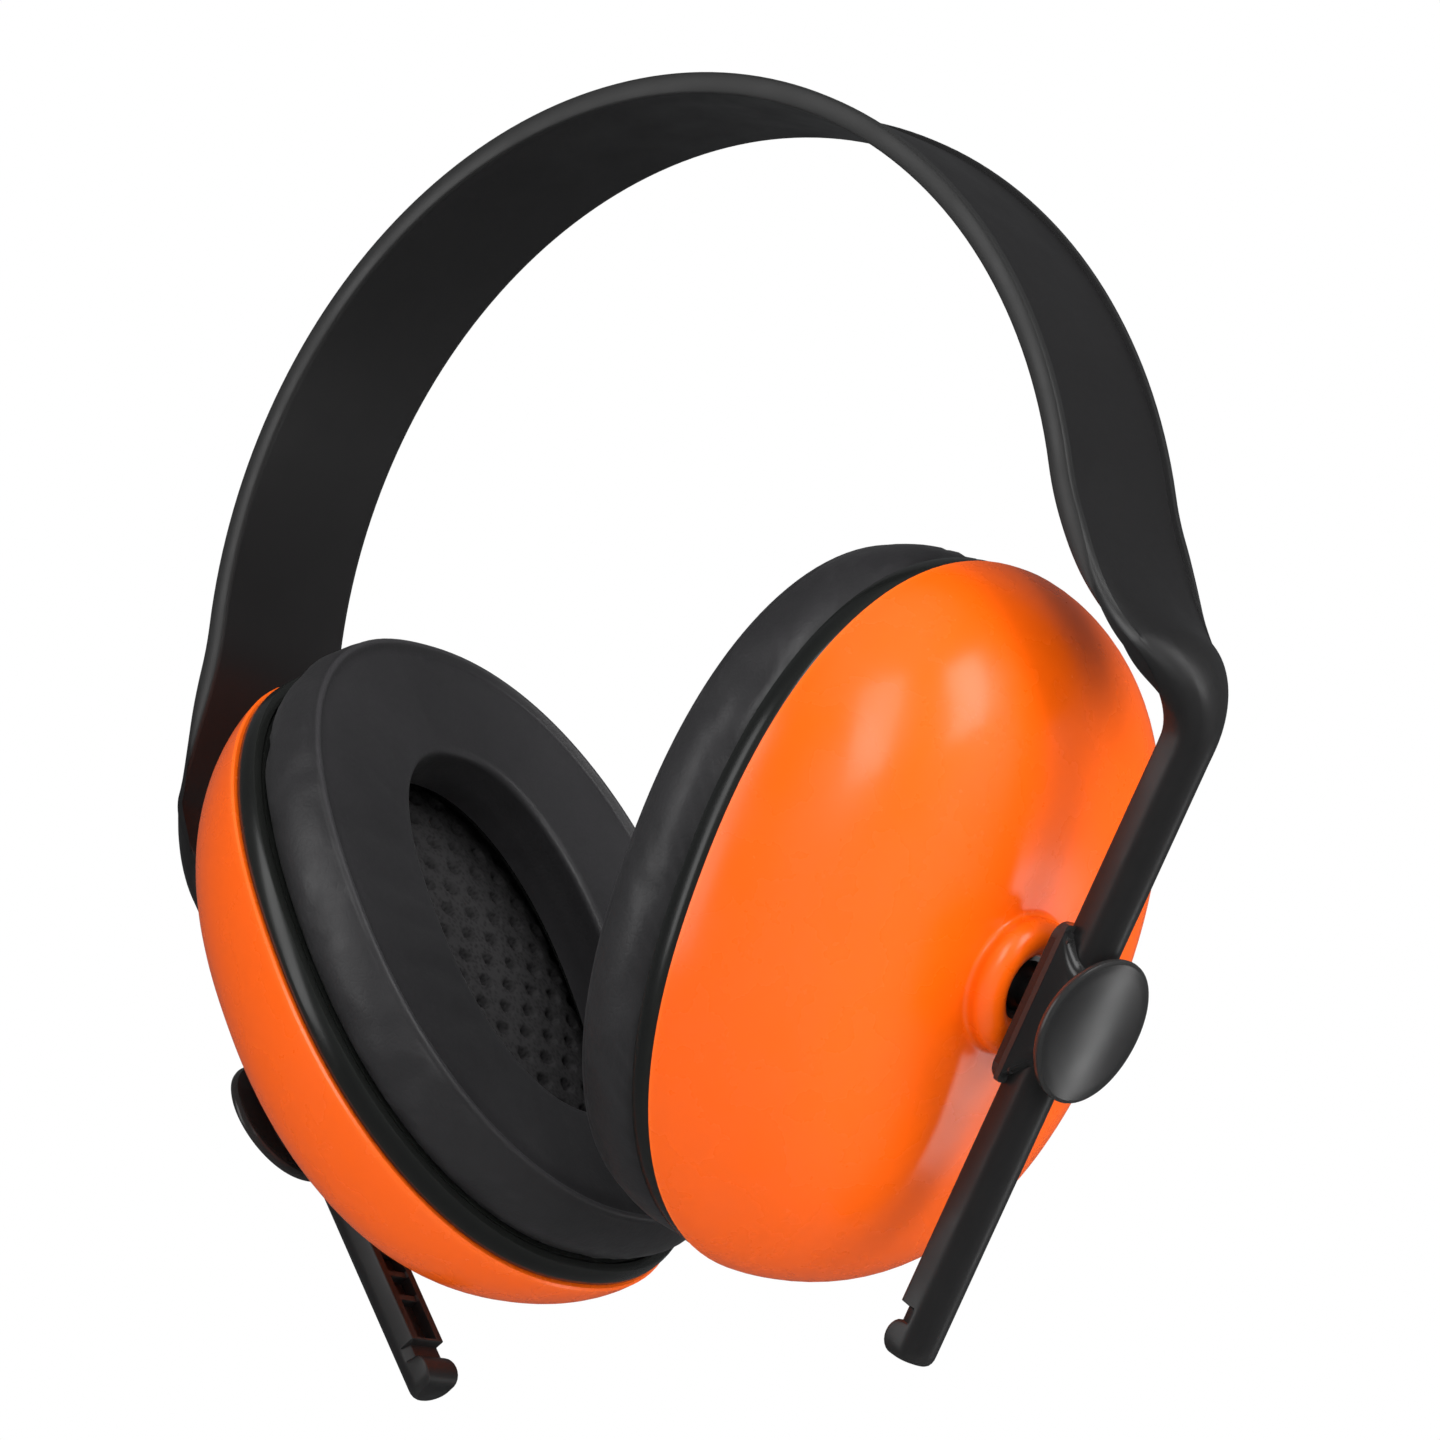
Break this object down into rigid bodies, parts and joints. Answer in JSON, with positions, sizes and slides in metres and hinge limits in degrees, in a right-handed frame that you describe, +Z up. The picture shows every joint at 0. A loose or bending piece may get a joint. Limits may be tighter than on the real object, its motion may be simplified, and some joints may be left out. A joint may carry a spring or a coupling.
{
  "type": "earmuff hearing protector",
  "caption": "Earmuff hearing protector: sprung plastic headband, sliding ball-jointed arms, domed hard cups and padded ear cushions.",
  "frame": {"origin": "under the crown, midway between the ears and front to back, level with the lowest point of the arms", "axes": "+Z up to the crown of the headband, +X from ear to ear towards the right-hand cup, Y front to back across the headband"},
  "size_m": [0.19, 0.0822, 0.188],
  "materials": {
    "band_plastic": "satin moulded black plastic",
    "slider_plastic": "satin moulded black plastic",
    "pivot_plastic": "smooth black nylon",
    "shell_plastic": "satin to glossy orange plastic",
    "rim_plastic": "smooth black plastic",
    "cushion_skin": "soft charcoal PVC skin over foam",
    "soft_foam": "open-cell dark grey foam"
  },
  "bodies": {
    "right_headband": {"right_headband": "band_plastic"},
    "left_headband": {"left_headband": "band_plastic"},
    "right_slider": {"right_slider_cap": "slider_plastic", "right_slider_base": "slider_plastic"},
    "right_stud": {"right_ball_stud": "pivot_plastic"},
    "right_socket": {"right_pivot_socket": "pivot_plastic"},
    "right_cup": {"right_cup_shell": "shell_plastic", "right_seal_ring": "rim_plastic", "right_cushion_plate": "rim_plastic", "right_cushion_cover": "cushion_skin", "right_cushion_foam": "soft_foam", "right_cup_liner": "soft_foam", "right_ear_pad": "soft_foam"},
    "left_slider": {"left_slider_cap": "slider_plastic", "left_slider_base": "slider_plastic"},
    "left_stud": {"left_ball_stud": "pivot_plastic"},
    "left_socket": {"left_pivot_socket": "pivot_plastic"},
    "left_cup": {"left_cup_shell": "shell_plastic", "left_seal_ring": "rim_plastic", "left_cushion_plate": "rim_plastic", "left_cushion_cover": "cushion_skin", "left_cushion_foam": "soft_foam", "left_cup_liner": "soft_foam", "left_ear_pad": "soft_foam"}
  },
  "joints": [
    {"name": "headband_spread", "type": "hinge", "parent": "right_headband", "child": "left_headband", "pos_m": [0, 0, 0.18802], "axis": [0, 1, 0], "range_deg": [0, 42]},
    {"name": "right_slider_travel", "type": "slide", "parent": "right_headband", "child": "right_slider", "axis": [-0.5135, 0, -0.8581], "range_m": [-0.008, 0.006]},
    {"name": "right_stud_swivel", "type": "hinge", "parent": "right_slider", "child": "right_stud", "pos_m": [0.06007, 0, 0.05171], "axis": [0.8581, 0, -0.5135], "range_deg": [-60, 60]},
    {"name": "right_cup_tilt", "type": "hinge", "parent": "right_stud", "child": "right_socket", "pos_m": [0.06007, 0, 0.05171], "axis": [0, -1, 0], "range_deg": [-6, 7]},
    {"name": "right_cup_turn", "type": "hinge", "parent": "right_socket", "child": "right_cup", "pos_m": [0.06007, 0, 0.05171], "axis": [0.8996, 0, -0.4368], "continuous": true},
    {"name": "left_slider_travel", "type": "slide", "parent": "left_headband", "child": "left_slider", "axis": [0.5135, 0, -0.8581], "range_m": [-0.008, 0.006]},
    {"name": "left_stud_swivel", "type": "hinge", "parent": "left_slider", "child": "left_stud", "pos_m": [-0.06007, 0, 0.05171], "axis": [0.8581, 0, 0.5135], "range_deg": [-60, 60]},
    {"name": "left_cup_tilt", "type": "hinge", "parent": "left_stud", "child": "left_socket", "pos_m": [-0.06007, 0, 0.05171], "axis": [0, 1, 0], "range_deg": [-6, 7]},
    {"name": "left_cup_turn", "type": "hinge", "parent": "left_socket", "child": "left_cup", "pos_m": [-0.06007, 0, 0.05171], "axis": [0.8996, 0, 0.4368], "continuous": true}
  ]
}
